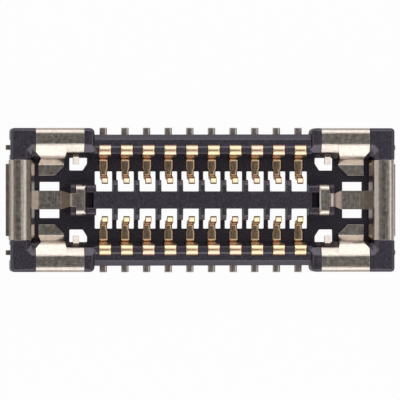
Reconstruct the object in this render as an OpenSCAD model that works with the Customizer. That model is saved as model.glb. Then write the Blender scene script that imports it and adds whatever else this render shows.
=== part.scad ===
// Board to flexible circuit connector, receptacle half, seen with its mating side up.
// A moulded housing carries two rows of formed spring contacts. Stamped nails
// wrap its two ends and its four corners and solder it to the circuit.
// Millimetres. X runs along the rows, Z points to the mating part.

/* [Contacts] */
// Distance from one contact to the next in a row
pitch = 0.35; // [0.32:0.01:0.5]
// Number of contacts in each row
contacts_per_row = 10; // [4:1:20]
// Thickness of the contact strip
strip = 0.06; // [0.05:0.005:0.07]
// Width of a contact where it is wrapped over the wall
wrap_width = 0.20; // [0.15:0.005:0.21]
// Width of the solder tail
tail_width = 0.12; // [0.08:0.01:0.16]
// Width of a contact where its inner leg meets the floor
foot_width = 0.155; // [0.14:0.005:0.17]
// Width of the beam over the floor opening
beam_width = 0.116; // [0.1:0.002:0.13]
// Length of the taper from the foot's width to the beam's
beam_taper = 0.05; // [0.03:0.01:0.08]
// Width of the spring at its tip
tip_width = 0.10; // [0.08:0.005:0.11]
// How far the tail reaches out of the side wall
tail_length = 0.115; // [0.06:0.005:0.2]
// Outside width of the bend over the ridge
wrap_span = 0.161; // [0.15:0.001:0.2]
// How far the bend stands above the ridge
wrap_rise = 0.03; // [0.01:0.005:0.05]
// How far the inner leg leans into the trench
leg_lean = 0.06; // [0.03:0.001:0.1]
// Inside radius of the bend where the inner leg meets the beam
foot_bend = 0.05; // [0.02:0.005:0.08]
// How far the leg and the beam stand out of the plastic
proud = 0.018; // [0.005:0.001:0.03]
// Distance from the middle line to the top edge of the spring
spring_from_middle = 0.28; // [0.26:0.001:0.31]
// Height of the top edge of the spring
spring_height = 0.46; // [0.38:0.01:0.48]
// Length in plan of the sloped lip that guides the mating contact
lip_run = 0.086; // [0.06:0.001:0.1]
// Height of that sloped lip
lip_drop = 0.033; // [0.02:0.001:0.06]
// How far the spring leans in below the lip
spring_lean = 0.03; // [0.02:0.001:0.06]
// Inside radius of the other bends in a contact
strip_bend = 0.02; // [0.012:0.001:0.025]

/* [Housing walls] */
// Width over the side walls beside the contacts
side_width = 2.10; // [2.0:0.01:2.3]
// Plastic outside the wrapped bends
outer_wall = 0.163; // [0.12:0.001:0.2]
// Height of the ledge outside the bends
ledge_height = 0.47; // [0.42:0.01:0.48]
// Height of the ridge that the contacts wrap over
ridge_height = 0.50; // [0.49:0.01:0.52]
// Radius along the edges of that ridge
ridge_round = 0.02; // [0.01:0.005:0.03]
// How far the ridge stands back from the outside of the bends
ridge_setback = 0.015; // [0.01:0.005:0.03]
// Length in plan of the slope up to the ridge
ridge_slope = 0.03; // [0.01:0.005:0.04]
// Chamfer along the outer edge of the side wall, across
ledge_chamfer = 0.074; // [0.03:0.001:0.1]
// Gap between the circuit and the underside of the housing
standoff = 0.02; // [0.01:0.005:0.04]
// Height of the inside floor
floor_height = 0.10; // [0.09:0.005:0.14]
// Width of the relief cut round each solder tail
relief_width = 0.20; // [0.18:0.01:0.24]
// Height of that relief
relief_height = 0.11; // [0.08:0.01:0.16]
// Depth of that relief
relief_depth = 0.04; // [0.02:0.005:0.06]
// Clearance between the metal and its moulded seat
seat_gap = 0.003; // [0.002:0.001:0.006]

/* [Island and floor openings] */
// Width of the bar down the middle
island_width = 0.28; // [0.2:0.01:0.3]
// Height of the island
island_height = 0.45; // [0.4:0.01:0.47]
// Reach of the partitions between the springs, from the middle line
partition_reach = 0.325; // [0.29:0.001:0.34]
// Reach of the full height of the partitions, from the middle line
partition_step = 0.27; // [0.24:0.005:0.28]
// Thickness of the partitions and of the floor ribs below them
partition = 0.07; // [0.05:0.005:0.09]
// Chamfer along the top edges of the island
island_chamfer = 0.025; // [0.01:0.005:0.04]
// Chamfer along the top edges of the island's solid ends
island_end_chamfer = 0.04; // [0.02:0.005:0.05]
// Outer edge of the floor openings, from the middle line
opening_reach = 0.46; // [0.42:0.01:0.5]
// Distance from the last contact to the solid end of the island
island_inset = 0.131; // [0.12:0.001:0.15]
// Length of the solid end of the island
island_end = 0.42; // [0.38:0.01:0.45]
// Length of the pocket in front of the cap's lip
pocket_length = 0.12; // [0.06:0.01:0.13]
// Width of that pocket
pocket_width = 0.25; // [0.16:0.01:0.3]
// Depth of that pocket
pocket_depth = 0.25; // [0.1:0.01:0.3]
// Width of the solid end of the island
island_end_width = 0.50; // [0.44:0.01:0.56]

/* [End blocks] */
// Distance from the last contact to the end block
block_inset = 0.17; // [0.16:0.01:0.22]
// Length of an end block
block_length = 1.345; // [1.3:0.005:1.5]
// Width over the end blocks
block_width = 2.31; // [2.3:0.01:2.5]
// Height of the end blocks and of the metal on them
block_height = 0.55; // [0.54:0.01:0.65]
// Length of the plastic corners
corner_length = 0.40; // [0.36:0.01:0.45]
// Radius of the upright corners next to the contacts
cheek_round = 0.08; // [0.04:0.01:0.1]
// Radius of the upright corners at the very ends
corner_round = 0.06; // [0.03:0.01:0.1]
// Chamfer along the outer top edges
top_chamfer = 0.04; // [0.02:0.005:0.06]
// Length in plan of the slope that guides the mating part in
lead_run = 0.129; // [0.1:0.001:0.15]
// Height of that slope
lead_drop = 0.09; // [0.07:0.001:0.13]
// Length in plan of the steeper slope below it
throat_run = 0.081; // [0.05:0.001:0.1]
// Height of the steeper slope
throat_drop = 0.19; // [0.12:0.001:0.21]
// Length in plan of the guiding slope on the end walls
end_lead_run = 0.075; // [0.05:0.005:0.1]
// Distance from the outer face of the end wall to its guiding slope
end_wall = 0.25; // [0.22:0.01:0.28]
// Width of the facet across the corners of the guiding slopes
mitre = 0.06; // [0.03:0.01:0.1]
// Length of the opening beside the corner nail
corner_opening_length = 0.285; // [0.2:0.005:0.3]
// Distance from the end block's inner face to that opening
corner_opening_inset = 0.095; // [0.06:0.005:0.12]
// Near edge of that opening, from the middle line
corner_opening_near = 0.476; // [0.46:0.001:0.5]
// Cut across the corner of that opening, along the rows
opening_cut_run = 0.07; // [0.02:0.01:0.09]
// The same cut across the rows
opening_cut_rise = 0.11; // [0.04:0.01:0.13]
// Length of the openings beside the end strip
end_opening_length = 0.32; // [0.25:0.01:0.34]
// Width of the openings beside the end strip
end_opening_width = 0.14; // [0.1:0.005:0.15]
// Distance from the plastic corner to those openings
end_opening_inset = 0.085; // [0.06:0.005:0.1]

/* [Nails] */
// Thickness of the sheet of all the nails
sheet = 0.08; // [0.06:0.005:0.085]
// Inside radius of every bend in a nail
sheet_bend = 0.012; // [0.008:0.001:0.02]
// Distance from the end block's inner face to the corner nail
arm_inset = 0.165; // [0.12:0.005:0.2]
// Length of the part of the corner nail with the short lip
arm_lip_length = 0.29; // [0.2:0.01:0.32]
// Length in plan of the slope of the corner nail's long part
arm_lead_run = 0.217; // [0.19:0.001:0.23]
// Height of that slope
arm_lead_drop = 0.13; // [0.1:0.005:0.17]
// Outside radius of the bend at the foot of that slope
arm_drop_bend = 0.20; // [0.1:0.01:0.24]
// Length in plan of the steep part below it
arm_drop_run = 0.10; // [0.06:0.005:0.12]
// Length of the tongue that lies on the floor
tongue_length = 0.41; // [0.34:0.01:0.42]
// Distance from the end of the arm to the tongue
tongue_inset = 0.063; // [0.06:0.001:0.1]
// Inner edge of the tongue, from the middle line
tongue_reach = 0.395; // [0.36:0.005:0.42]
// Cut across the tongue's corner towards the middle, along the arm
tongue_cut_run = 0.15; // [0.05:0.01:0.16]
// The same cut across the arm
tongue_cut_rise = 0.15; // [0.04:0.01:0.16]
// Cut across the outer foot of the arm's slope, along the arm
slope_cut_run = 0.09; // [0.07:0.005:0.11]
// The same cut across the arm
slope_cut_rise = 0.106; // [0.06:0.001:0.12]
// How far the tongue and the end strip are sunk into the floor
tongue_sink = 0.02; // [0.01:0.005:0.04]
// Distance from the arm's inner end to the middle of the latch finger
finger_inset = 0.12; // [0.1:0.01:0.15]
// Width of the latch finger
finger_width = 0.095; // [0.06:0.005:0.11]
// How far the latch finger reaches past the lip
finger_length = 0.12; // [0.06:0.01:0.13]
// Inner edge of the solder foot under the arm, from the middle line
foot_reach = 0.806; // [0.78:0.001:0.85]
// Width of the tab left where the corner nail was cut from its strip
tab_width = 0.081; // [0.06:0.001:0.1]
// How far the end foot and the tabs stand out of the end face
end_reach = 0.06; // [0.03:0.005:0.08]
// Width of the end nail over the end wall
crest_width = 1.29; // [1.2:0.01:1.35]
// Width of the end nail's solder foot
end_foot_width = 1.16; // [1.0:0.01:1.2]
// Slope on the inside of the crest, in plan and in height
crest_bevel = 0.09; // [0.06:0.005:0.1]
// Distance from the outer face of the end nail to that slope
crest_length = 0.24; // [0.2:0.01:0.26]
// Length in plan of the slight fall along the inner half of the crest
crest_fall_run = 0.085; // [0.06:0.005:0.1]
// Height of that fall
crest_fall = 0.009; // [0.005:0.001:0.02]
// How far the steep inner face leans in
crest_lean = 0.135; // [0.09:0.005:0.15]
// Length in plan of the wide metal on the steep inner face
apron = 0.06; // [0.03:0.005:0.08]
// Width of the strip along the floor
end_strip_width = 0.30; // [0.24:0.01:0.34]
// Distance from the island's solid end to the foot of the riser
riser_run = 0.14; // [0.1:0.01:0.16]
// Width of the neck on top of the riser
neck_width = 0.21; // [0.16:0.01:0.24]
// Length of the neck
neck_length = 0.085; // [0.06:0.005:0.1]
// Length of the cap folded over the island
cap_length = 0.161; // [0.12:0.001:0.2]
// How far the cap stands above the island
cap_rise = 0.03; // [0.02:0.005:0.05]
// Depth of the cap's side flaps
flap_depth = 0.15; // [0.12:0.01:0.18]
// Width of the cap's lip, which points down on the side of the contacts
cap_lip_width = 0.40; // [0.3:0.01:0.42]
// Depth of that lip
cap_lip_depth = 0.13; // [0.1:0.01:0.16]
// Coined chamfer along the cap's edge above the lip
cap_edge = 0.03; // [0.01:0.005:0.04]

/* [Hidden] */
function two_digits(n) = n < 10 ? str("0", n) : str(n);

plastic_black = "#2b292e";
contact_gold = "#e2b878";
nail_metal = "#a39a92";

bend_step = 18;        // turn between the facets of a bend, in degrees
beyond = 1;            // cutting shapes pass this far through what they cut
hair = 0.01;           // overlap of shapes that are fused

// Distances along the rows, from the centre of the connector
last_contact = pitch * (contacts_per_row - 1) / 2;
block_start = last_contact + block_inset;
half_length = block_start + block_length;
corner_start = half_length - corner_length;
island_solid = last_contact + island_inset;
island_tip = island_solid + island_end;
cap_face = island_tip - neck_length - cap_length;
arm_start = block_start + arm_inset;
arm_long = arm_start + arm_lip_length;

// Distances across the rows, from the middle line
side_half = side_width / 2;
block_half = block_width / 2;
wrap_out = side_half - outer_wall;
wrap_in = wrap_out - wrap_span;
beam_start = wrap_in - leg_lean;
knee = spring_from_middle + lip_run;
heel = knee + spring_lean;
tail_end = side_half + tail_length;

// Heights
wrap_top = ridge_height + wrap_rise;
beam_top = floor_height + proud;
cap_top = island_height + cap_rise;
tongue_top = floor_height + sheet - tongue_sink;

// Plane geometry of bent sheets. A path lists corners as [x, y, bend radius].
function spot(p) = [p[0], p[1]];
function run(p, q) = (spot(q) - spot(p)) / norm(spot(q) - spot(p));
function left_of(v) = [-v[1], v[0]];
function turned(v, a) = [v[0] * cos(a) - v[1] * sin(a), v[0] * sin(a) + v[1] * cos(a)];
function reversed(list) = [for (k = [len(list) - 1 : -1 : 0]) list[k]];

// The bend at corner q between its neighbours, moved to the left by side
function bend(p, q, s, side) =
    let (
        into = run(p, q),
        angle = atan2(cross(into, run(q, s)), into * run(q, s)),
        way = sign(angle),
        centre = spot(q) - q[2] * tan(abs(angle) / 2) * into + way * q[2] * left_of(into),
        radius = q[2] - way * side,
        steps = max(1, ceil(abs(angle) / bend_step))
    )
    q[2] == 0 ? [spot(q)] :
    [for (k = [0 : steps]) centre - way * radius * left_of(turned(into, angle * k / steps))];

// One side of an open path, lengthened at both ends by spare
function path_side(path, side, spare) =
    let (
        last = len(path) - 1,
        first_run = run(path[0], path[1]),
        last_run = run(path[last - 1], path[last])
    )
    concat(
        [spot(path[0]) - spare * first_run + side * left_of(first_run)],
        [for (k = [1 : last - 1]) each bend(path[k - 1], path[k], path[k + 1], side)],
        [spot(path[last]) + spare * last_run + side * left_of(last_run)]
    );

// A sheet of thickness t to the left of the path, grown all round by gap
function bent_sheet(path, t, gap) =
    concat(path_side(path, -gap, gap), reversed(path_side(path, t + gap, gap)));

// The sheet's seat, left open outside it. The points in outside lead round from its end to its start.
function open_seat(path, t, gap, outside) =
    let (upper = path_side(path, -gap, gap))
    concat(path_side(path, t + gap, gap), [upper[len(upper) - 1]], outside);

// A closed outline with its corners rounded
function rounded(points) =
    let (n = len(points))
    [for (k = [0 : n - 1]) each bend(points[(k + n - 1) % n], points[k], points[(k + 1) % n], 0)];

// Draws a Y-Z outline and extrudes it along X
module along_x(from, to) {
    translate([from, 0, 0])
        rotate([90, 0, 90])
            linear_extrude(to - from)
                children();
}

// Draws an X-Z outline and extrudes it both ways along Y
module along_y(half) {
    rotate([90, 0, 0])
        linear_extrude(2 * half, center = true)
            children();
}

// Draws an X-Y outline and extrudes it through the whole height
module through_height() {
    translate([0, 0, -beyond])
        linear_extrude(block_height + 2 * beyond)
            children();
}

module both_ends() {
    children();
    mirror([1, 0, 0]) children();
}

module both_rows() {
    children();
    mirror([0, 1, 0]) children();
}

// Upper surface of a contact from its tail to the top edge of its spring
contact_path = [
    [tail_end, strip],
    [wrap_out, strip, strip_bend],
    [wrap_out, wrap_top, strip_bend + strip],
    [wrap_in, wrap_top, strip_bend + strip],
    [beam_start, beam_top, foot_bend],
    [heel, beam_top, strip_bend],
    [knee, spring_height - lip_drop, strip_bend + strip],
    [spring_from_middle, spring_height]
];

// Half of the contact's outline before it is bent, seen from above
function contact_blank(gap) =
    let (
        tail = tail_width / 2 + gap,
        wrap = wrap_width / 2 + gap,
        foot = foot_width / 2 + gap,
        beam = beam_width / 2 + gap,
        tip = tip_width / 2 + gap,
        shoulder = wrap_out + strip + gap
    )
    [
        [0, tail_end + gap], [tail, tail_end + gap], [tail, shoulder], [wrap, shoulder],
        [wrap, wrap_in - leg_lean / 2], [foot, beam_start], [foot, opening_reach + beam_taper],
        [beam, opening_reach], [beam, heel], [tip, knee], [tip, 0], [0, 0]
    ];

// One contact of the row on the +Y side, at X = 0
module contact_shape(gap) {
    intersection() {
        along_x(-wrap_width, wrap_width)
            polygon(bent_sheet(contact_path, strip, gap));
        translate([0, 0, -beyond])
            linear_extrude(2 * beyond)
                polygon(concat(contact_blank(gap), mirrored_x(contact_blank(gap))));
    }
}

function mirrored_x(points) = reversed([for (p = points) if (p[0] > 0) [-p[0], p[1]]]);

function contact_x(n) = (n - 1) * pitch - last_contact;

module contact(row, n) {
    color(contact_gold)
        mirror([0, row == "b" ? 1 : 0, 0])
            translate([contact_x(n), 0, 0])
                contact_shape(0);
}

// Outer surface of a corner nail, up its leg and over to the guiding slope
arm_top_path = [
    [foot_reach, 0],
    [block_half, 0, sheet_bend + sheet],
    [block_half, block_height, sheet_bend + sheet],
    [wrap_out, block_height, sheet_bend + sheet]
];
// The long part goes down to the floor and ends in the tongue
arm_long_path = concat(arm_top_path, [
    [wrap_out - arm_lead_run, block_height - arm_lead_drop, arm_drop_bend],
    [wrap_out - arm_lead_run - arm_drop_run, tongue_top, sheet_bend],
    [tongue_reach, tongue_top]
]);
// The short part ends in a lip
arm_lip_path = concat(arm_top_path, [
    [wrap_out - lead_run, block_height - lead_drop, sheet_bend + sheet],
    [wrap_out - lead_run - throat_run, block_height - lead_drop - throat_drop]
]);

// Outline of the long part seen from above: the tongue is shorter than the arm
module arm_blank(gap) {
    tongue_start = corner_start - tongue_inset - tongue_length - gap;
    tongue_end = corner_start - tongue_inset + gap;
    slope_foot = wrap_out - arm_lead_run;
    polygon([
        [arm_long - hair - gap, block_half + beyond],
        [arm_long - hair - gap, slope_foot + arm_lead_run / 2],
        [tongue_start, slope_foot],
        [tongue_start, tongue_reach + tongue_cut_rise],
        [tongue_start + tongue_cut_run, tongue_reach - gap],
        [tongue_end, tongue_reach - gap],
        [tongue_end, slope_foot - arm_drop_run],
        [corner_start - slope_cut_run + gap, slope_foot],
        [corner_start + gap, slope_foot + slope_cut_rise],
        [corner_start + gap, block_half + beyond]
    ]);
}

// Cross-section of a corner nail, or of its seat with the way in to it
function arm_outline(path, gap, seat) =
    let (above = block_height + beyond, out = block_half + beyond)
    seat ?
    open_seat(path, sheet, gap, [
        [path[len(path) - 1][0] - gap, above], [out, above],
        [out, -beyond], [foot_reach - gap, -beyond]
    ]) :
    bent_sheet(path, sheet, gap);

// The corner nail at +X and +Y, or its seat
module corner_nail_shape(gap, seat) {
    intersection() {
        along_x(arm_long - hair - gap, corner_start + gap)
            polygon(arm_outline(arm_long_path, gap, seat));
        through_height() arm_blank(gap);
    }
    along_x(arm_start - gap, arm_long)
        polygon(arm_outline(arm_lip_path, gap, seat));
    // Latch finger under the lip
    finger_top = block_height - lead_drop - throat_drop + sheet / 2;
    finger_from = wrap_out - lead_run - throat_run;
    translate([
        arm_start + finger_inset - finger_width / 2 - gap,
        finger_from - finger_length - gap,
        finger_top - sheet - gap
    ])
        cube([finger_width + 2 * gap, finger_length + sheet / 2 + gap, sheet + 2 * gap]);
    // Tab that leads out of the end face
    translate([corner_start - hair, foot_reach - gap, -gap])
        cube([corner_length + end_reach + hair + gap, tab_width + 2 * gap, sheet + 2 * gap]);
}

// Outer surface of the end nail, from its foot over the end wall to the neck
end_path = [
    [half_length + end_reach, sheet],
    [half_length, sheet, sheet_bend],
    [half_length, block_height, sheet_bend + sheet],
    [half_length - crest_length + crest_fall_run, block_height, sheet_bend + sheet],
    [half_length - crest_length, block_height - crest_fall, sheet_bend + sheet],
    [half_length - crest_length - crest_bevel, block_height - crest_bevel, sheet_bend + sheet],
    [half_length - crest_length - crest_bevel - crest_lean, beam_top, sheet_bend],
    [island_tip + riser_run, beam_top, sheet_bend],
    [island_tip, cap_top, sheet_bend + sheet],
    [island_tip - neck_length - hair, cap_top]
];

// Half of the end nail's outline before it is bent, seen from above
function end_blank(gap) =
    let (
        foot = end_foot_width / 2 + gap,
        crest = crest_width / 2 + gap,
        floor_strip = end_strip_width / 2 + gap,
        neck = neck_width / 2 + gap,
        apron_end = half_length - crest_length - crest_bevel - apron - gap
    )
    [
        [half_length + beyond, 0], [half_length + beyond, foot],
        [half_length + gap + hair, foot], [half_length + gap + hair, crest],
        [apron_end, crest], [apron_end, floor_strip],
        [island_tip + riser_run, floor_strip], [island_tip, neck],
        [island_tip - neck_length - beyond, neck], [island_tip - neck_length - beyond, 0]
    ];

function mirrored_y(points) = reversed([for (p = points) if (p[1] > 0) [p[0], -p[1]]]);

// Lengthwise section of the end nail, or of its seat with the way in to it
function end_outline(gap, seat) =
    let (
        above = block_height + beyond,
        out = half_length + end_reach + beyond,
        neck_end = end_path[len(end_path) - 1][0] - gap
    )
    seat ?
    open_seat(end_path, sheet, gap, [[neck_end, above], [out, above], [out, -gap]]) :
    bent_sheet(end_path, sheet, gap);

// The cap's two flaps, folded down over the island
cap_half = island_end_width / 2;
cap_path = [
    [cap_half, cap_top - flap_depth],
    [cap_half, cap_top, sheet_bend + sheet],
    [-cap_half, cap_top, sheet_bend + sheet],
    [-cap_half, cap_top - flap_depth]
];

// Cross-section of the cap, or of its seat with the way in to it
function cap_outline(gap, seat) =
    let (
        above = block_height + beyond,
        out = cap_half + hair,
        foot = cap_top - flap_depth - gap
    )
    seat ?
    open_seat(cap_path, sheet, gap, [[-out, foot], [-out, above], [out, above], [out, foot]]) :
    bent_sheet(cap_path, sheet, gap);

// The end nail at +X, or its seat
module end_nail_shape(gap, seat) {
    intersection() {
        along_y(crest_width)
            polygon(end_outline(gap, seat));
        through_height()
            polygon(concat(end_blank(gap), mirrored_y(end_blank(gap))));
    }
    along_x(cap_face - gap, island_tip - neck_length + gap)
        polygon(cap_outline(gap, seat));
    // Lip under the cap's edge
    lip_rise = cap_lip_depth - sheet + hair;
    translate([cap_face - gap, -cap_lip_width / 2 - gap, cap_top - cap_lip_depth - gap])
        cube([sheet + 2 * gap, cap_lip_width + 2 * gap, lip_rise + gap]);
}

module end_nail(side) {
    color(nail_metal)
        mirror([side == "left" ? 1 : 0, 0, 0])
            difference() {
                end_nail_shape(0, false);
                // The coined chamfer
                along_y(block_half)
                    polygon([
                        [cap_face - hair, cap_top + hair],
                        [cap_face - hair, cap_top - cap_edge - hair],
                        [cap_face + cap_edge + hair, cap_top + hair]
                    ]);
            }
}

module corner_nail(side, row) {
    color(nail_metal)
        mirror([side == "left" ? 1 : 0, 0, 0])
            mirror([0, row == "b" ? 1 : 0, 0])
                corner_nail_shape(0, false);
}

// Cross-section of the side wall on the +Y side, ledge and ridge
module side_wall_outline() {
    ridge_in = wrap_in + proud;
    polygon(path_side([
        [ridge_in - leg_lean, standoff],
        [side_half, standoff, 0],
        [side_half, ledge_height - ledge_chamfer, 0],
        [side_half - ledge_chamfer, ledge_height, 0],
        [wrap_out - ridge_setback, ledge_height, 0],
        [wrap_out - ridge_setback - ridge_slope, ridge_height, ridge_round],
        [ridge_in, ridge_height, ridge_round],
        [ridge_in - leg_lean, floor_height]
    ], 0, 0));
}

// Outline of an end block from above
module block_outline() {
    polygon(rounded([
        [block_start, -block_half, cheek_round],
        [half_length, -block_half, corner_round],
        [half_length, block_half, corner_round],
        [block_start, block_half, cheek_round]
    ]));
}

// A solid end block with chamfered top edges
module block_body() {
    intersection() {
        translate([0, 0, standoff])
            linear_extrude(block_height - standoff)
                block_outline();
        along_x(block_start, half_length)
            polygon([
                [-block_half, 0], [block_half, 0],
                [block_half, block_height - top_chamfer],
                [block_half - top_chamfer, block_height],
                [top_chamfer - block_half, block_height],
                [-block_half, block_height - top_chamfer]
            ]);
        along_y(block_half)
            polygon([
                [block_start, 0], [half_length, 0],
                [half_length, block_height - top_chamfer],
                [half_length - top_chamfer, block_height],
                [block_start + top_chamfer, block_height],
                [block_start, block_height - top_chamfer]
            ]);
    }
}

// The funnel that guides the mating part into an end block
module funnel() {
    lead_foot = wrap_out - lead_run;
    throat_foot = lead_foot - throat_run;
    end_edge = half_length - end_wall;
    end_foot = corner_start + hair;
    corner_across = (end_edge + wrap_out) * cos(45) - mitre;
    intersection() {
        along_x(block_start - beyond, end_edge + beyond)
            both_sides_outline([
                [wrap_out + beyond, block_height + beyond],
                [wrap_out, block_height],
                [lead_foot, block_height - lead_drop],
                [throat_foot, block_height - lead_drop - throat_drop],
                [throat_foot, floor_height]
            ]);
        along_y(block_half)
            polygon([
                [block_start - beyond, floor_height],
                [block_start - beyond, block_height + beyond],
                [end_edge + beyond, block_height + beyond],
                [end_edge, block_height],
                [end_edge - end_lead_run, block_height - end_lead_run],
                [end_foot, floor_height]
            ]);
        both_rows_shared()
            rotate([0, 0, 45])
                along_y(2 * block_start + 2 * block_half)
                    polygon([
                        [-beyond, floor_height],
                        [-beyond, block_height + beyond],
                        [corner_across + beyond, block_height + beyond],
                        [corner_across, block_height],
                        [corner_across - lead_run, block_height - lead_drop],
                        [corner_across - lead_run - throat_run, floor_height]
                    ]);
    }
}

// Both mirror images of a shape, kept where they overlap
module both_rows_shared() {
    intersection() {
        children();
        mirror([0, 1, 0]) children();
    }
}

// A closed outline from one side's points and their mirror image
module both_sides_outline(points) {
    polygon(concat(points, reversed([for (p = points) [-p[0], p[1]]])));
}

// Walls, floor and end blocks before the openings are cut
module housing_body() {
    both_rows()
        along_x(-block_start - hair, block_start + hair)
            side_wall_outline();
    translate([-block_start - hair, -side_half, standoff])
        cube([2 * (block_start + hair), side_width, floor_height - standoff]);
    both_ends()
        difference() {
            block_body();
            funnel();
        }
}

// Outline of the island from above between its ends: a bar with partitions
module island_outline() {
    square([2 * island_solid + hair, island_width], center = true);
    for (n = [1 : contacts_per_row - 1])
        translate([contact_x(n) + pitch / 2, 0])
            square([partition, 2 * partition_reach], center = true);
}

// The island with chamfers along its long edges and on the partitions
module island() {
    intersection() {
        translate([0, 0, standoff])
            linear_extrude(island_height - standoff)
                island_outline();
        along_x(-island_tip, island_tip)
            both_sides_outline([
                [partition_reach, 0],
                [partition_reach, island_height - 2 * island_chamfer],
                [partition_reach - island_chamfer, island_height - island_chamfer],
                [partition_step, island_height - island_chamfer],
                [partition_step - island_chamfer, island_height]
            ]);
    }
    both_ends()
        along_x(island_solid, island_tip)
            both_sides_outline([
                [island_end_width / 2, standoff],
                [island_end_width / 2, island_height - island_end_chamfer],
                [island_end_width / 2 - island_end_chamfer, island_height]
            ]);
}

// Openings through the floor
module floor_openings() {
    for (n = [1 : contacts_per_row])
        translate([contact_x(n), 0])
            both_rows()
                translate([(partition - pitch) / 2, island_width / 2])
                    square([pitch - partition, opening_reach - island_width / 2]);
    start = block_start + corner_opening_inset;
    far = wrap_out - lead_run - throat_run;
    both_ends() both_rows() {
        polygon([
            [start, corner_opening_near + opening_cut_rise],
            [start + opening_cut_run, corner_opening_near],
            [start + corner_opening_length, corner_opening_near],
            [start + corner_opening_length, far],
            [start, far]
        ]);
        translate([
            corner_start - end_opening_inset - end_opening_length,
            end_strip_width / 2
        ])
            square([end_opening_length, end_opening_width]);
    }
}

// Reliefs in the foot of the side walls, round the solder tails
module tail_reliefs() {
    for (n = [1 : contacts_per_row])
        translate([contact_x(n) - relief_width / 2, side_half - relief_depth, 0])
            cube([relief_width, beyond, relief_height]);
}

// Pocket in the island's solid end, in front of the cap's lip
module island_pocket() {
    translate([cap_face - pocket_length, -pocket_width / 2, island_height - pocket_depth])
        cube([pocket_length, pocket_width, pocket_depth + beyond]);
}

// Notches in the end faces, round the tabs of the corner nails
module tab_notches() {
    notch = tab_width + 2 * sheet;
    translate([half_length - end_reach / 2, foot_reach - sheet, 0])
        cube([beyond, notch, block_height / 2]);
}

module housing() {
    color(plastic_black)
        difference() {
            union() {
                housing_body();
                island();
            }
            through_height() floor_openings();
            both_rows() tail_reliefs();
            both_ends() both_rows() tab_notches();
            both_ends() island_pocket();
            both_ends() both_rows() corner_nail_shape(seat_gap, true);
            both_ends() end_nail_shape(seat_gap, true);
            both_rows()
                for (n = [1 : contacts_per_row])
                    translate([contact_x(n), 0, 0])
                        contact_shape(seat_gap);
        }
}

housing();
end_nail("left");  // end_nail_left
end_nail("right");  // end_nail_right
corner_nail("left", "a");  // corner_nail_left_a
corner_nail("left", "b");  // corner_nail_left_b
corner_nail("right", "a");  // corner_nail_right_a
corner_nail("right", "b");  // corner_nail_right_b
for (n = [1 : contacts_per_row]) {
    contact("a", n);
    contact("b", n);
}
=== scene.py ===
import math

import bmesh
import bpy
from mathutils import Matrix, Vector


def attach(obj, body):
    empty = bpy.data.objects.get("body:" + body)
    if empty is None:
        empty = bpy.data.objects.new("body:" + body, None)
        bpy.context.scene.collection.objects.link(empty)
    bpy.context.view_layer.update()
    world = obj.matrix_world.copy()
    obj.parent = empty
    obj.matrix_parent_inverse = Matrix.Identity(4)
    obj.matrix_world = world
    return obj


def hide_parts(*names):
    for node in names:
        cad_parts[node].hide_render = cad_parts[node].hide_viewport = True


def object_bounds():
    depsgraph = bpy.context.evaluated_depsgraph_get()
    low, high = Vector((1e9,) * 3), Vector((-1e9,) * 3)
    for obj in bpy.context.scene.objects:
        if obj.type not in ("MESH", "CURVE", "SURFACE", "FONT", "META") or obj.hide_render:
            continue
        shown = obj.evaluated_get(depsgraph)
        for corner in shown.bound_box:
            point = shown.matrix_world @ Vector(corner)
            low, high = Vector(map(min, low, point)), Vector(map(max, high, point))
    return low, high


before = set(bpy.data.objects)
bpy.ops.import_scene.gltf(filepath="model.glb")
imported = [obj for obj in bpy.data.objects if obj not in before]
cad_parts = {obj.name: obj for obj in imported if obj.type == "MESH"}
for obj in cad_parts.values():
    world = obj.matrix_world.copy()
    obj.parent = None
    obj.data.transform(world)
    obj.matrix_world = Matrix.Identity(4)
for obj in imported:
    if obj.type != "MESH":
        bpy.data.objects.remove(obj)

# %% [markdown]
# ## A tiny connector, seen through a long lens
# The object is the receptacle half of a board to flexible circuit connector, 6.3 mm long.
# Its solids arrive as a frame at their real size, in metres. Everything below is thought
# out in millimetres and multiplied by one value, because bare metre values of so small an
# object would all be strings of zeros.

MM = 0.001
cad_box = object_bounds()
low, high = (Vector(corner) / MM for corner in cad_box)
print("solids span", tuple(round(v, 3) for v in low), "to", tuple(round(v, 3) for v in high), "mm")

# %% [markdown]
# ## Helpers for colours and nodes
# A paint chip or a screen gives colours as sRGB hex codes, and a shader wants linear light.
# One function turns the first into the second. One more adds a node with its settings and
# its links, so that a material or a geometry tree reads as a list of what is in it.

# %% Colour and node helpers
def linear(code):
    """The linear colour of an sRGB hex code such as #808080."""
    parts = [int(code[i:i + 2], 16) / 255 for i in (1, 3, 5)]
    return tuple(p / 12.92 if p <= 0.04045 else ((p + 0.055) / 1.055) ** 2.4 for p in parts) + (1,)


def add(tree, kind, settings=None, **sockets):
    """Adds a node. A socket's value is a plain value, or another node's output socket.
    The keys i0, i1 and so on name a socket by its place."""
    node = tree.nodes.new(kind)
    for name, value in (settings or {}).items():
        setattr(node, name, value)
    for name, value in sockets.items():
        key = int(name[1:]) if name[0] == "i" and name[1:].isdigit() else name.replace("_", " ")
        socket = node.inputs[key]
        if isinstance(value, bpy.types.NodeSocket):
            tree.links.new(value, socket)
        else:
            socket.default_value = value
    return node


def blank_material(name):
    material = bpy.data.materials.new(name)
    material.use_nodes = True
    material.node_tree.nodes.clear()
    return material


print("half grey #808080 is", round(linear("#808080")[0], 3), "of white in linear light")

# %% [markdown]
# ## The camera
# The photograph looks down on the mating side from far away, and leans about four and a
# half degrees towards -X: the uprights at that end show their outer faces. A very long
# lens keeps all the verticals parallel, as macro lenses made for measuring do.

# %% Camera
IMAGE_MM = 6.42            # width of the picture at the object, from its pitch and its ends
LENS_MM = 600
SENSOR_MM = 36
LEAN = math.radians(4.5)
AIM_MM = Vector((-0.0532, 0.0, 0.55))  # what the middle of the picture shows
CLIP_SHARES = (0.1, 20)    # of the camera's distance


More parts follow.
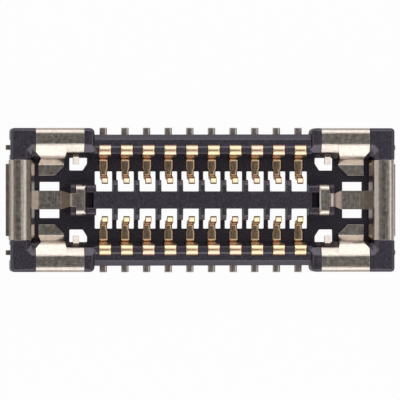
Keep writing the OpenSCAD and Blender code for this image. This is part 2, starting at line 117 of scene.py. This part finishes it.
def add_camera():
    data = bpy.data.cameras.new("camera")
    data.lens, data.sensor_width = LENS_MM, SENSOR_MM
    distance = IMAGE_MM * MM * LENS_MM / SENSOR_MM
    data.clip_start, data.clip_end = (distance * share for share in CLIP_SHARES)
    camera = bpy.data.objects.new("camera", data)
    back = Vector((-math.sin(LEAN), 0, math.cos(LEAN)))
    right = Vector((0, 1, 0)).cross(back)
    turn = Matrix((right, Vector((0, 1, 0)), back)).transposed()
    camera.matrix_world = Matrix.Translation(AIM_MM * MM + back * distance) @ turn.to_4x4()
    bpy.context.collection.objects.link(camera)
    bpy.context.scene.camera = camera
    print("camera", round(distance, 4), "m away")


add_camera()

# %% [markdown]
# ## A light table
# The part lies on white acrylic that glows evenly, so its openings show as clean white.
# A camera ray sees that glow, and a mirror reflection sees some of it. Other rays see plain
# white plastic, so the floor throws no extra light on the object and takes its shadow.

# %% Floor
scene = bpy.context.scene
scene.view_settings.view_transform = "Standard"
FLOOR_HALF_M = 0.5
FLOOR_DROP_MM = 0.001      # keeps it out of the plane of the feet
SEEN_GLOW = 0.97           # share of the glow that a camera ray sees
MIRRORED_GLOW = 0.2        # and that a mirror reflection sees


def add_floor():
    s, z = FLOOR_HALF_M, -FLOOR_DROP_MM * MM
    mesh = bpy.data.meshes.new("floor")
    mesh.from_pydata([(-s, -s, z), (s, -s, z), (s, s, z), (-s, s, z)], [], [(0, 1, 2, 3)])
    floor = bpy.data.objects.new("floor", mesh)
    bpy.context.collection.objects.link(floor)
    material = blank_material("light_table_acrylic")
    tree = material.node_tree
    path = add(tree, "ShaderNodeLightPath")
    mirrored = add(tree, "ShaderNodeMath", {"operation": "MULTIPLY"},
                   i0=path.outputs["Is Glossy Ray"], i1=MIRRORED_GLOW)
    share = add(tree, "ShaderNodeMath", {"operation": "MULTIPLY_ADD"},
                i0=path.outputs["Is Camera Ray"], i1=SEEN_GLOW, i2=mirrored.outputs[0])
    diffuse = add(tree, "ShaderNodeBsdfDiffuse", Color=linear("#fafafa"))
    glow = add(tree, "ShaderNodeEmission", Color=(1, 1, 1, 1), Strength=1.0)
    mix = add(tree, "ShaderNodeMixShader", i0=share.outputs[0], i1=diffuse.outputs[0],
              i2=glow.outputs[0])
    add(tree, "ShaderNodeOutputMaterial", Surface=mix.outputs[0])
    mesh.materials.append(material)
    print("floor", 2 * s, "m wide, a camera ray sees", SEEN_GLOW, "of its glow")


add_floor()

# %% [markdown]
# ## A light tent
# Polished metal shows what stands round it more than its own colour. The tent has a dark
# slot overhead for the lens, which runs along the connector, and bright walls beside its
# two long sides. Of its ends, the right one is a bright wall and the left one is dim with
# a bright foot. The sheet metal's flat tops therefore look dark, and its slopes and bends
# light up by the way they face.
#
# The world draws that tent for mirror rays from two brightness profiles, one by the
# direction's Y and one by its X, and takes the larger. All other rays get an even light.

# %% World
# Brightness towards the long sides, by the size of the direction's Y
SIDE_PROFILE = ((0.12, 0.05), (0.30, 0.75), (0.52, 1.25), (0.88, 1.45), (1.0, 0.85))
# Brightness towards the ends, by the direction's X from -1 to 1
END_PROFILE = (
    (-1.0, 0.90), (-0.93, 0.50), (-0.85, 0.22), (-0.25, 0.16), (-0.16, 0.0), (0.14, 0.0),
    (0.30, 0.55), (0.45, 1.05), (0.75, 0.90), (0.94, 0.25), (1.0, 0.18),
)
ROOM_VALUE = 0.50          # the even light that every other ray gets


def profile(tree, value, points):
    """A brightness that follows the points (value, brightness) with straight lines."""
    start, end = points[0][0], points[-1][0]
    share = add(tree, "ShaderNodeMapRange", Value=value, From_Min=start, From_Max=end)
    node = add(tree, "ShaderNodeValToRGB", Fac=share.outputs[0])
    stops = node.color_ramp.elements
    while len(stops) < len(points):
        stops.new(0.5)
    for stop, (place, grey) in zip(stops, points):
        stop.position = (place - start) / (end - start)
        stop.color = (grey, grey, grey, 1)
    return node.outputs["Color"]


def add_world():
    world = bpy.data.worlds.new("light_tent")
    scene.world = world
    world.use_nodes = True
    tree = world.node_tree
    tree.nodes.clear()
    place = add(tree, "ShaderNodeTexCoord")
    parts = add(tree, "ShaderNodeSeparateXYZ", Vector=place.outputs["Generated"])
    across = add(tree, "ShaderNodeMath", {"operation": "ABSOLUTE"}, i0=parts.outputs["Y"])
    sides = profile(tree, across.outputs[0], SIDE_PROFILE)
    ends = profile(tree, parts.outputs["X"], END_PROFILE)
    value = add(tree, "ShaderNodeMath", {"operation": "MAXIMUM"}, i0=sides, i1=ends)
    tent = add(tree, "ShaderNodeBackground", Color=(1, 1, 1, 1), Strength=value.outputs[0])
    room = add(tree, "ShaderNodeBackground", Color=(1, 1, 1, 1), Strength=ROOM_VALUE)
    path = add(tree, "ShaderNodeLightPath")
    seen = add(tree, "ShaderNodeMath", {"operation": "MAXIMUM"}, i0=path.outputs["Is Camera Ray"],
               i1=path.outputs["Is Glossy Ray"])
    mix = add(tree, "ShaderNodeMixShader", i0=seen.outputs[0], i1=room.outputs[0],
              i2=tent.outputs[0])
    add(tree, "ShaderNodeOutputWorld", Surface=mix.outputs[0])
    print("the tent's brightest wall is", max(grey for _, grey in SIDE_PROFILE + END_PROFILE))


add_world()

# %% [markdown]
# Two softboxes stand beyond the long walls and put the brightest band into the metal. They
# are small in metres, because the object is: an area lamp's brightness is its power over
# its area, so a hundredth of a watt is already studio light at this scale.

# %% Softboxes
BOX_SIZE = (0.16, 0.04)    # metres
BOX_PLACE = (0.10, 0.05)   # metres beside the connector and above it
BOX_POWER = 0.010          # watts


def add_softbox(name, side):
    """Adds an area lamp on the +Y side (1) or the -Y side (-1), turned to the connector."""
    place = Vector((0, side * BOX_PLACE[0], BOX_PLACE[1]))
    data = bpy.data.lights.new(name, "AREA")
    data.shape = "RECTANGLE"
    data.size, data.size_y = BOX_SIZE
    data.energy = BOX_POWER
    lamp = bpy.data.objects.new(name, data)
    lamp.location = place
    lamp.rotation_euler = (-place).to_track_quat("-Z", "Y").to_euler()
    bpy.context.collection.objects.link(lamp)


add_softbox("softbox_back", 1)
add_softbox("softbox_front", -1)
box_value = BOX_POWER / (math.pi * BOX_SIZE[0] * BOX_SIZE[1])
print("softboxes shine at", round(box_value, 2), "where 1 is white")

# %% [markdown]
# ## Patterns at a real size
# Every material of this part uses noise, and the size of its lumps is given in millimetres
# along X, Y and Z. A Mapping node wants the reverse, how many lumps a metre holds. A noise
# texture's values crowd round one half, so each is read over a narrow span.

# %% Pattern sizes
MOST_NOISE = (0.3, 0.7)        # nearly all of a noise texture's values lie between these
CORE_NOISE = (0.35, 0.65)      # and most of them between these


def lumps(sizes_mm):
    """The Mapping scale at which a noise's lumps have these sizes."""
    return tuple(1 / (size * MM) for size in sizes_mm)


print("lumps of 1 mm:", lumps((1,)), "a metre")

# %% [markdown]
# ## Moulded plastic
# The housing is liquid crystal polymer filled with short glass fibres, injection moulded
# and near black. Fibres that end at the skin leave pale specks a few hundredths of a
# millimetre across and make the surface slightly rough, and the melt's flow leaves faint
# cloudy bands. One noise gives the specks, a stretched one the bands. Lower down the skin
# reflects less than on the tops, which is painted shade of the recesses and goes by height.

# %% Plastic
SPECK_MM = (0.02, 0.02, 0.02)
SPECK_NOISE = (0.55, 0.85)     # noise values over which the skin turns to a pale speck
FLOW_MM = (0.9, 0.25, 0.25)
SKIN_ROUGHNESS = (0.24, 0.42)
SKIN_RELIEF_MM = 0.003
RECESS_SHADE_FADE = (0.20, 0.34)     # mm above the board, over which the painted shade of the recesses fades out
SHADED_AND_TOP_SPECULAR = (0.52, 0.9)       # specular level in the painted recess shade and on the tops


def moulded_polymer():
    material = blank_material("moulded_glass_filled_polymer")
    tree = material.node_tree
    place = add(tree, "ShaderNodeTexCoord").outputs["Object"]
    near = add(tree, "ShaderNodeMapping", Vector=place, Scale=lumps(SPECK_MM))
    specks = add(tree, "ShaderNodeTexNoise", Vector=near.outputs[0], Scale=1.0, Detail=2.0,
                 Roughness=0.6)
    pale = add(tree, "ShaderNodeMapRange", Value=specks.outputs[0],
               From_Min=SPECK_NOISE[0], From_Max=SPECK_NOISE[1])
    far = add(tree, "ShaderNodeMapping", Vector=place, Scale=lumps(FLOW_MM))
    flow = add(tree, "ShaderNodeTexNoise", Vector=far.outputs[0], Scale=1.0, Detail=3.0)
    bands = add(tree, "ShaderNodeMapRange", Value=flow.outputs[0],
                From_Min=CORE_NOISE[0], From_Max=CORE_NOISE[1])
    body = add(tree, "ShaderNodeMix", {"data_type": "RGBA"}, Factor=bands.outputs[0],
               A=linear("#130f17"), B=linear("#1e1824"))
    colour = add(tree, "ShaderNodeMix", {"data_type": "RGBA"}, Factor=pale.outputs[0],
                 A=body.outputs["Result"], B=linear("#5b5462"))
    rough = add(tree, "ShaderNodeMapRange", Value=specks.outputs[0],
                From_Min=MOST_NOISE[0], From_Max=MOST_NOISE[1],
                To_Min=SKIN_ROUGHNESS[0], To_Max=SKIN_ROUGHNESS[1])
    relief = add(tree, "ShaderNodeBump", Height=specks.outputs[0], Strength=0.5,
                 Distance=SKIN_RELIEF_MM * MM)
    height = add(tree, "ShaderNodeSeparateXYZ", Vector=place)
    # Painted shade: lower down the skin reflects less, standing in for the shade of the recesses
    shaded_specular = add(tree, "ShaderNodeMapRange", Value=height.outputs["Z"],
                From_Min=RECESS_SHADE_FADE[0] * MM, From_Max=RECESS_SHADE_FADE[1] * MM,
                To_Min=SHADED_AND_TOP_SPECULAR[0], To_Max=SHADED_AND_TOP_SPECULAR[1])
    shader = add(tree, "ShaderNodeBsdfPrincipled", Base_Color=colour.outputs["Result"], IOR=1.65,
                 Specular_IOR_Level=shaded_specular.outputs[0], Specular_Tint=linear("#ece2f4"),
                 Roughness=rough.outputs[0], Normal=relief.outputs[0])
    add(tree, "ShaderNodeOutputMaterial", Surface=shader.outputs[0])
    return material


plastic = moulded_polymer()
print("plastic speck", SPECK_MM[0], "mm")

# %% [markdown]
# ## Stamped sheet
# The nails are copper alloy sheet with a thin nickel plate. Rolling and pressing leave fine
# marks along the bends, two hundredths of a millimetre wide, and the plate over them is
# mottled. A stretched noise tilts the surface slightly, so that streaks of a flat face
# catch the bright walls, and a second, round one changes the tone and how sharp they look.
# The end nails' marks run along Y and are longer than those of the corner nails, along X.

# %% Nickel plate
CORNER_MARK_MM = (0.2, 0.022, 0.022)
END_MARK_MM = (0.022, 0.7, 0.022)
MARK_RELIEF_MM = 0.002
MOTTLE_MM = (0.06, 0.06, 0.06)
SHEET_ROUGHNESS = (0.19, 0.26)


def plated_sheet(name, mark_mm):
    """Sheet with press marks of those sizes along X, Y and Z."""
    material = blank_material(name)
    tree = material.node_tree
    place = add(tree, "ShaderNodeTexCoord").outputs["Object"]
    long = add(tree, "ShaderNodeMapping", Vector=place, Scale=lumps(mark_mm))
    marks = add(tree, "ShaderNodeTexNoise", Vector=long.outputs[0], Scale=1.0, Detail=3.0,
                Roughness=0.6)
    round_ones = add(tree, "ShaderNodeMapping", Vector=place, Scale=lumps(MOTTLE_MM))
    spots = add(tree, "ShaderNodeTexNoise", Vector=round_ones.outputs[0], Scale=1.0, Detail=3.0,
                Roughness=0.6)
    tone = add(tree, "ShaderNodeMapRange", Value=spots.outputs[0],
               From_Min=CORE_NOISE[0], From_Max=CORE_NOISE[1])
    colour = add(tree, "ShaderNodeMix", {"data_type": "RGBA"}, Factor=tone.outputs[0],
                 A=linear("#cbbfb4"), B=linear("#d9cfc6"))
    rough = add(tree, "ShaderNodeMapRange", Value=spots.outputs[0],
                From_Min=MOST_NOISE[0], From_Max=MOST_NOISE[1],
                To_Min=SHEET_ROUGHNESS[0], To_Max=SHEET_ROUGHNESS[1])
    relief = add(tree, "ShaderNodeBump", Height=marks.outputs[0], Strength=1.0,
                 Distance=MARK_RELIEF_MM * MM)
    shader = add(tree, "ShaderNodeBsdfPrincipled", Base_Color=colour.outputs["Result"],
                 Metallic=1.0, Roughness=rough.outputs[0], Normal=relief.outputs[0])
    add(tree, "ShaderNodeOutputMaterial", Surface=shader.outputs[0])
    return material


sheet_along_rows = plated_sheet("nickel_plated_sheet_rolled_along_x", CORNER_MARK_MM)
sheet_across_rows = plated_sheet("nickel_plated_sheet_rolled_along_y", END_MARK_MM)
print("press marks", CORNER_MARK_MM[0], "and", END_MARK_MM[1], "mm long")

# %% [markdown]
# ## Gold over nickel
# The contacts are formed from strip and then flash plated with gold, a layer so thin that
# its colour is pale and varies from one contact to the next, from yellow to rose. Each
# contact carries a value called tone, and the material mixes its two golds by it. Down the
# inner leg and along the trench floor the gold is painted darker and browner, as shade of
# the trench, while the tip and the arch, which the mating contact touches, keep it full. The
# gold stops at the solder tail, which is bare nickel. The strip's rolling marks run along it.

# %% Gold plate
ROLL_MM = (0.02, 0.1, 0.1)  # the marks are narrow along X and long down the strip
ROLL_RELIEF_MM = 0.001
GOLD_ROUGHNESS = (0.20, 0.30)
PLATED_TO = (0.93, 0.98)   # mm from the middle line, where the gold fades out
# How much painted shade the gold gets, by the distance from the middle line in mm: none on tip and
# arch, full in the trench
TRENCH_SHADE = ((0.36, 0.0), (0.44, 1.0), (0.68, 1.0), (0.72, 0.0))


def flash_gold():
    material = blank_material("flash_gold_over_nickel")
    tree = material.node_tree
    tone = add(tree, "ShaderNodeAttribute", {"attribute_name": "tone"})
    # The gold's own colour by tone, before the painted trench shade
    thick = add(tree, "ShaderNodeMix", {"data_type": "RGBA"}, Factor=tone.outputs["Fac"],
                A=linear("#f6ddaf"), B=linear("#f6d3b7"))
    place = add(tree, "ShaderNodeTexCoord").outputs["Object"]
    parts = add(tree, "ShaderNodeSeparateXYZ", Vector=place)
    metres = add(tree, "ShaderNodeMath", {"operation": "ABSOLUTE"}, i0=parts.outputs["Y"])
    across = add(tree, "ShaderNodeMath", {"operation": "DIVIDE"}, i0=metres.outputs[0], i1=MM)
    # Painted shade: the gold turns darker and browner down in the trench
    plate = add(tree, "ShaderNodeMix", {"data_type": "RGBA"},
                Factor=profile(tree, across.outputs[0], TRENCH_SHADE),
                A=thick.outputs["Result"], B=linear("#c8ac8e"))
    tail = add(tree, "ShaderNodeMapRange", Value=across.outputs[0],
               From_Min=PLATED_TO[0], From_Max=PLATED_TO[1])
    colour = add(tree, "ShaderNodeMix", {"data_type": "RGBA"}, Factor=tail.outputs[0],
                 A=plate.outputs["Result"], B=linear("#d0c5bf"))
    long = add(tree, "ShaderNodeMapping", Vector=place, Scale=lumps(ROLL_MM))
    marks = add(tree, "ShaderNodeTexNoise", Vector=long.outputs[0], Scale=1.0, Detail=2.0)
    rough = add(tree, "ShaderNodeMapRange", Value=marks.outputs[0],
                From_Min=MOST_NOISE[0], From_Max=MOST_NOISE[1],
                To_Min=GOLD_ROUGHNESS[0], To_Max=GOLD_ROUGHNESS[1])
    relief = add(tree, "ShaderNodeBump", Height=marks.outputs[0], Strength=0.3,
                 Distance=ROLL_RELIEF_MM * MM)
    shader = add(tree, "ShaderNodeBsdfPrincipled", Base_Color=colour.outputs["Result"],
                 Metallic=1.0, Roughness=rough.outputs[0], Normal=relief.outputs[0])
    add(tree, "ShaderNodeOutputMaterial", Surface=shader.outputs[0])
    return material


gold = flash_gold()
print("gold ends between", PLATED_TO[0], "and", PLATED_TO[1], "mm from the middle line")

# %% [markdown]
# ## Shading that keeps flats flat
# Each finished piece is shaded smoothly, but each corner of a face gets a normal of its
# own: the mean of the faces round that point that lie within 50 degrees of this face, by
# their areas. A large flat outweighs its bevels, so flats stay flat and bevels and bends
# shade smoothly, and where a bevel runs out, the face round the corner is left out.
#
# A piece is worked on at millimetre size and scaled down last, because Blender's own
# tolerance for a bevel is as large as these bevels are in metres.

# %% Own corner normals
SMOOTH_WITHIN = math.radians(50)


def weigh_normals(mesh):
    """Gives each face corner the mean normal of the nearly level faces at its point, by area."""
    around = [[] for _ in mesh.vertices]
    for face in mesh.polygons:
        for vertex in face.vertices:
            around[vertex].append(face)
    normals = [None] * len(mesh.loops)
    for face in mesh.polygons:
        for corner, vertex in zip(face.loop_indices, face.vertices):
            total = Vector()
            for near in around[vertex]:
                if near.normal.dot(face.normal) > math.cos(SMOOTH_WITHIN):
                    total += near.normal * near.area
            normals[corner] = total.normalized()
    mesh.normals_split_custom_set(normals)


def finished(name, form, material):
    """Makes an object of a bmesh in millimetres, shades it smoothly and scales it to metres."""
    mesh = bpy.data.meshes.new(name)
    form.to_mesh(mesh)
    form.free()
    mesh.materials.append(material)
    mesh.polygons.foreach_set("use_smooth", [True] * len(mesh.polygons))
    weigh_normals(mesh)
    mesh.transform(Matrix.Scale(MM, 4))
    piece = bpy.data.objects.new(name, mesh)
    bpy.context.collection.objects.link(piece)
    return piece


print("normals are averaged within", round(math.degrees(SMOOTH_WITHIN)), "degrees")

# %% [markdown]
# ## Soft edges on the solids
# A solid from CAD has perfectly sharp edges, and no moulded or stamped piece has. The
# housing and the nails get a copy of their solid with its triangles joined, its flat faces
# made whole, and a tiny bevel along each edge that has room for one. A Bevel modifier that
# goes by angle would take the short edges too, and its bevels would run into each other.

# %% Bevelled copies
WELD_MM = 0.0003
FLAT_WITHIN = math.radians(0.5)    # faces that turn less than this count as one flat
EDGE_OVER = math.radians(25)       # and an edge that turns more than this gets a bevel
BEVEL_ROOM = 2.1                   # how many bevels long an edge has to be


def softened(node, name, material, edge_mm, press=None):
    """A bevelled copy of a CAD node that stands for it. The function press may move its points."""
    form = bmesh.new()
    form.from_mesh(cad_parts[node].data)
    form.transform(Matrix.Scale(1 / MM, 4))
    bmesh.ops.remove_doubles(form, verts=form.verts, dist=WELD_MM)
    bmesh.ops.dissolve_limit(form, angle_limit=FLAT_WITHIN, verts=form.verts, edges=form.edges)
    if press:
        press(form)
    # An edge has room when it and all that meet it at its two ends are long enough
    short = {edge for edge in form.edges if edge.calc_length() < BEVEL_ROOM * edge_mm}
    chosen = [
        edge for edge in form.edges
        if edge.is_manifold and edge.calc_face_angle() > EDGE_OVER
        and not any(near in short for vert in edge.verts for near in vert.link_edges)
    ]
    bmesh.ops.bevel(form, geom=chosen, offset=edge_mm, offset_type="OFFSET", segments=2,
                    profile=0.5, affect="EDGES", clamp_overlap=False)
    piece = finished(name, form, material)
    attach(piece, "root")
    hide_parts(node)
    print(name, "bevels", len(chosen), "edges,", len(piece.data.polygons), "faces")
    return piece


# %% [markdown]
# ## The housing
# Injection moulding rounds an edge by about a hundredth of a millimetre, which is enough
# to draw a thin bright line along each edge that faces a wall of the tent. The shape is the
# solid's, so a bevelled copy is all that it needs.

# %% Housing
HOUSING_EDGE_MM = 0.012

housing = softened("housing", "moulded_housing", plastic, HOUSING_EDGE_MM)

# %% [markdown]
# ## The latch finger
# The short lip of each corner nail ends in a finger, which is level in the solid. In the
# photograph its end is a little shorter and catches the wall's light. So the points of its
# tip are moved down and back in the nail's copy, before that gets its bevels.

# %% Latch finger
FINGER_TIP = (0.55, 0.56)       # where the finger's tip lies, in mm from the middle line
FINGER_HEIGHTS = (0.22, 0.32)   # and in mm above the board
FINGER_DROOP = 0.045            # how far the tip goes down, in mm
FINGER_TRIM = 0.018             # and how much shorter the finger gets


def press_finger(form):
    """Lowers and draws back the tip of a corner nail's latch finger."""
    tips = [vert for vert in form.verts
            if FINGER_TIP[0] < abs(vert.co.y) < FINGER_TIP[1]
            and FINGER_HEIGHTS[0] < vert.co.z < FINGER_HEIGHTS[1]]
    for vert in tips:
        vert.co.z -= FINGER_DROOP
        vert.co.y += math.copysign(FINGER_TRIM, vert.co.y)
    print("pressed", len(tips), "points of the finger's tip")


# %% [markdown]
# ## The nails
# Cutting rounds one side of a sheet's edge and leaves a slight burr on the other, which the
# plating softens, so all edges get a bevel. It is finer than the housing's, because cut
# sheet stays sharper than a moulding.

# %% Nails
SHEET_EDGE_MM = 0.0045

for side in ("left", "right"):
    nail = softened("end_nail_" + side, "end_nail_sheet_" + side, sheet_across_rows, SHEET_EDGE_MM)
    for row in ("a", "b"):
        corner = f"{side}_{row}"
        nail = softened("corner_nail_" + corner, "corner_nail_sheet_" + corner,
                        sheet_along_rows, SHEET_EDGE_MM, press_finger)

# %% [markdown]
# ## One contact
# A contact is a strip 0.06 mm thick, cut to its outline flat and then formed. It could be
# the CAD solid, but its bends have flat facets there. Here a rounded rectangle is swept
# along the same bent path with fine steps, and its width follows the outline, so the bends
# are truly round. The arch over the ridge is a little fuller than the solid's, because the
# photograph's bright bands are wider.
#
# The path runs over the upper face, from the solder tail up the outside of the ridge, over
# it, down its inside, along the floor and up to the hooked tip. Across is the distance from
# the connector's middle line.

# %% The contact's sizes
# All in millimetres
STRIP = 0.06
BEND = 0.02                # inside radius of the bends
ARCH_BEND = 0.033          # of the two over the ridge
FOOT_BEND = 0.05           # of the one at the foot of the inner leg
TAIL_END = 1.165
ARCH_OUT = 0.887 + 0.006   # the solid's outer face, and how much fuller this arch is there
ARCH_IN = 0.726 - 0.014    # the same for the inner face
ARCH_TOP = 0.530
LEG_FOOT = 0.666
BEAM_TOP = 0.118
SPRING_FOOT = 0.396
SPRING_BEND = (0.366, 0.427)
TIP = (0.280, 0.460)
# Corners of the upper face from the tail to the tip: across, up, that face's own radius
CORNERS = [
    (TAIL_END, STRIP, 0),
    (ARCH_OUT, STRIP, BEND),
    (ARCH_OUT, ARCH_TOP, ARCH_BEND + STRIP),
    (ARCH_IN, ARCH_TOP, ARCH_BEND + STRIP),
    (LEG_FOOT, BEAM_TOP, FOOT_BEND),
    (SPRING_FOOT, BEAM_TOP, BEND),
    (*SPRING_BEND, BEND + STRIP),
    (*TIP, 0),
]
WIDE_FROM = 0.947          # where the narrow tail widens, in one step
WIDE_TO = 0.696            # where the arch's full width ends
TAPER = (0.510, 0.460)     # where the beam narrows to the spring
STEP_HALF = 0.0001
TAIL_HALF = 0.060
ARCH_HALF = 0.100
BEAM_HALF = 0.0775
SPRING_HALF = 0.058
TIP_HALF = 0.050
# Half widths from the tail to the tip, each with its distance across
OUTLINE = [
    (TAIL_END, TAIL_HALF), (WIDE_FROM + STEP_HALF, TAIL_HALF),
    (WIDE_FROM - STEP_HALF, ARCH_HALF), (WIDE_TO, ARCH_HALF),
    (LEG_FOOT, BEAM_HALF), (TAPER[0], BEAM_HALF),
    (TAPER[1], SPRING_HALF), (SPRING_FOOT, SPRING_HALF),
    (SPRING_BEND[0], TIP_HALF), (TIP[0], TIP_HALF),
]
print("contact reaches from", TAIL_END, "to", TIP[0], "mm across, strip", STRIP, "mm")

# %% [markdown]
# ## From corners to a path
# The path is straight between two corners and turns on an arc at each. Each of its points
# carries the direction there, which the strip's section needs. Where the outline changes
# its width between two points, the path gets one point more.

# %% The contact's path
BEND_STEP = 9              # degrees at most between two points of a bend
ONE_PLACE = 1e-6           # mm: places this close count as one
OWN_POINT = 1e-5           # mm: how far off the path's points an outline's point needs its own


def rounded_path(corners):
    """Points and directions along the corners with arcs at their bends."""
    spots = [Vector(c[:2]) for c in corners]
    path = [(spots[0], (spots[1] - spots[0]).normalized())]
    for before, here, after, corner in zip(spots, spots[1:], spots[2:], corners[1:]):
        into, out = (here - before).normalized(), (after - here).normalized()
        angle = math.atan2(into.x * out.y - into.y * out.x, into.dot(out))
        way = math.copysign(1, angle)
        radius = corner[2]
        start = here - radius * math.tan(abs(angle) / 2) * into
        centre = start + way * radius * Vector((-into.y, into.x))
        count = max(2, math.ceil(abs(math.degrees(angle)) / BEND_STEP))
        for k in range(count + 1):
            heading = Matrix.Rotation(angle * k / count, 2) @ into
            path.append((centre - way * radius * Vector((-heading.y, heading.x)), heading))
    path.append((spots[-1], (spots[-1] - spots[-2]).normalized()))
    return path


def half_width(across):
    """The strip's half width there, on straight lines between the outline's points."""
    for (far, wide), (near, narrow) in zip(OUTLINE, OUTLINE[1:]):
        if across >= near - ONE_PLACE:
            share = 0 if far == near else (far - across) / (far - near)
            return wide + (narrow - wide) * max(0.0, min(1.0, share))
    return OUTLINE[-1][1]


def with_stations(path):
    """Adds points where the outline changes between two points of the path."""
    full = [path[0]]
    for (p, a), (q, b) in zip(path, path[1:]):
        low_end, high_end = sorted((p.x, q.x))
        inside = [y for y, _ in OUTLINE if low_end + OWN_POINT < y < high_end - OWN_POINT]
        for y in sorted(inside, reverse=p.x > q.x):
            share = (p.x - y) / (p.x - q.x)
            full.append((p.lerp(q, share), a))
        full.append((q, b))
    return full


contact_path = with_stations(rounded_path(CORNERS))
print("contact path has", len(contact_path), "points")

# %% [markdown]
# ## Sweeping the strip
# A ring of points stands round the strip at each point of the path, and faces join each
# ring to the next. A ring has four rounded corners. The lower two have the small radius
# that a punch leaves. The upper two are rolled, widely where the strip lies flat and hardly
# at all on its upright legs, so flat parts get a bright rim and the legs show their full
# width. The last ring at each end is a little smaller, which takes the sharpness off it.

# %% Sweep the strip
EDGE = 0.010               # radius of the lower edges
ROLLED_EDGE = 0.035        # of the upper edges where the strip lies flat
TAIL_EDGE = 0.007          # how much smaller the last ring is at the tail
TIP_EDGE = 0.002           # and at the tip
CORNER_TURN = [math.radians(a) for a in (90, 67.5, 45, 22.5, 0)]


def ring(spot, heading, side, inset):
    """Points round the strip's section, shrunk by inset. Depth runs down from the upper face."""
    left = Vector((-heading.y, heading.x))
    wide = half_width(spot.x) - inset
    thick = STRIP - 2 * inset
    steepness = abs(heading.y)
    rolled = ROLLED_EDGE + (EDGE - ROLLED_EDGE) * steepness

    def corner(way, upper, radius):
        """Points of one corner: how far along X, and how deep."""
        arc = [((1 - math.sin(a)) * radius, (1 - math.cos(a)) * radius) for a in CORNER_TURN]
        return [(way * (wide - x), z if upper else thick - z) for x, z in arc]

    section = corner(1, False, EDGE) + corner(-1, False, EDGE)[::-1]
    section += corner(-1, True, rolled) + corner(1, True, rolled)[::-1]
    points = []
    for x, depth in section:
        flat = spot + left * (depth + inset)
        points.append(Vector((x, side * flat.x, flat.y)))
    return points


def contact_form(side):
    """A closed mesh of one contact of row a (side 1) or row b (side -1), at X = 0."""
    form = bmesh.new()
    (tail, out), (tip, way) = contact_path[0], contact_path[-1]
    rings = [ring(tail, out, side, TAIL_EDGE), ring(tail + out * TAIL_EDGE, out, side, 0)]
    rings += [ring(spot, heading, side, 0) for spot, heading in contact_path[1:-1]]
    rings += [ring(tip - way * TIP_EDGE, way, side, 0), ring(tip, way, side, TIP_EDGE)]
    rows = [[form.verts.new(p) for p in points] for points in rings]
    for one, two in zip(rows, rows[1:]):
        for k in range(len(one)):
            n = (k + 1) % len(one)
            form.faces.new((one[k], one[n], two[n], two[k]))
    form.faces.new(rows[0])
    form.faces.new(rows[-1])
    bmesh.ops.recalc_face_normals(form, faces=form.faces)
    print("contact", "a" if side > 0 else "b", len(rows), "rings, volume",
          round(form.calc_volume(), 5), "mm3")
    return form


# %% [markdown]
# ## Rows of contacts
# Ten contacts stand at one pitch, so a geometry tree repeats one. Its inputs are the pitch,
# the number and a seed for the tone that each contact gets. The tree ends with Realize
# Instances and Set Material, because an export keeps plain meshes only.

# %% Row tree
PITCH = 0.35               # mm
CONTACTS = 10
TONE_SEEDS = {"a": 3, "b": 8}


def row_tree():
    """The tree that repeats its geometry along X, gives each copy a tone and plates it."""
    tree = bpy.data.node_groups.new("contact_row", "GeometryNodeTree")
    face = tree.interface
    face.new_socket(name="Contact", in_out="INPUT", socket_type="NodeSocketGeometry")
    for name, kind in (("Pitch", "NodeSocketFloat"), ("Contacts", "NodeSocketInt"),
                       ("Seed", "NodeSocketInt"), ("Plate", "NodeSocketMaterial")):
        face.new_socket(name=name, in_out="INPUT", socket_type=kind)
    face.new_socket(name="Row", in_out="OUTPUT", socket_type="NodeSocketGeometry")
    given = add(tree, "NodeGroupInput")
    gaps = add(tree, "ShaderNodeMath", {"operation": "SUBTRACT"}, i0=given.outputs["Contacts"], i1=1.0)
    half = add(tree, "ShaderNodeMath", {"operation": "MULTIPLY"}, i0=gaps.outputs[0], i1=-0.5)
    first = add(tree, "ShaderNodeMath", {"operation": "MULTIPLY"},
                i0=half.outputs[0], i1=given.outputs["Pitch"])
    start = add(tree, "ShaderNodeCombineXYZ", X=first.outputs[0])
    step = add(tree, "ShaderNodeCombineXYZ", X=given.outputs["Pitch"])
    line = add(tree, "GeometryNodeMeshLine", {"mode": "OFFSET", "count_mode": "TOTAL"},
               Count=given.outputs["Contacts"], Start_Location=start.outputs[0],
               Offset=step.outputs[0])
    placed = add(tree, "GeometryNodeInstanceOnPoints", Points=line.outputs[0],
                 Instance=given.outputs["Contact"])
    tone = add(tree, "FunctionNodeRandomValue", {"data_type": "FLOAT"}, Seed=given.outputs["Seed"])
    kept = add(tree, "GeometryNodeStoreNamedAttribute", {"data_type": "FLOAT", "domain": "INSTANCE"},
               Geometry=placed.outputs[0], Name="tone", Value=tone.outputs["Value"])
    plain = add(tree, "GeometryNodeRealizeInstances", Geometry=kept.outputs[0])
    plated = add(tree, "GeometryNodeSetMaterial", Geometry=plain.outputs[0],
                 Material=given.outputs["Plate"])
    add(tree, "NodeGroupOutput", Row=plated.outputs[0])
    return tree


contact_tree = row_tree()
print("row tree has", len(contact_tree.nodes), "nodes")

# %% [markdown]
# ## Both rows
# The rows face each other, so each repeats a contact mesh of its own. The tree's result is
# made a plain mesh, and the modifier is gone before the row stands for its ten solids.

# %% Contacts
def contact_row(row, side):
    single = finished("contact_row_" + row, contact_form(side), gold)
    repeat = single.modifiers.new("row", "NODES")
    repeat.node_group = contact_tree
    sockets = contact_tree.interface.items_tree
    keys = {item.name: item.identifier for item in sockets if item.in_out == "INPUT"}
    repeat[keys["Pitch"]] = PITCH * MM
    repeat[keys["Contacts"]] = CONTACTS
    repeat[keys["Seed"]] = TONE_SEEDS[row]
    repeat[keys["Plate"]] = gold
    built = single.evaluated_get(bpy.context.evaluated_depsgraph_get())
    mesh = bpy.data.meshes.new_from_object(built)
    single.modifiers.clear()
    single.data = mesh
    mesh.name = single.name
    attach(single, "root")
    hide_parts(*(f"contact_{row}{n:02d}" for n in range(1, CONTACTS + 1)))
    print(single.name, len(mesh.polygons), "faces, tone kept:", "tone" in mesh.attributes)


contact_row("a", 1)
contact_row("b", -1)
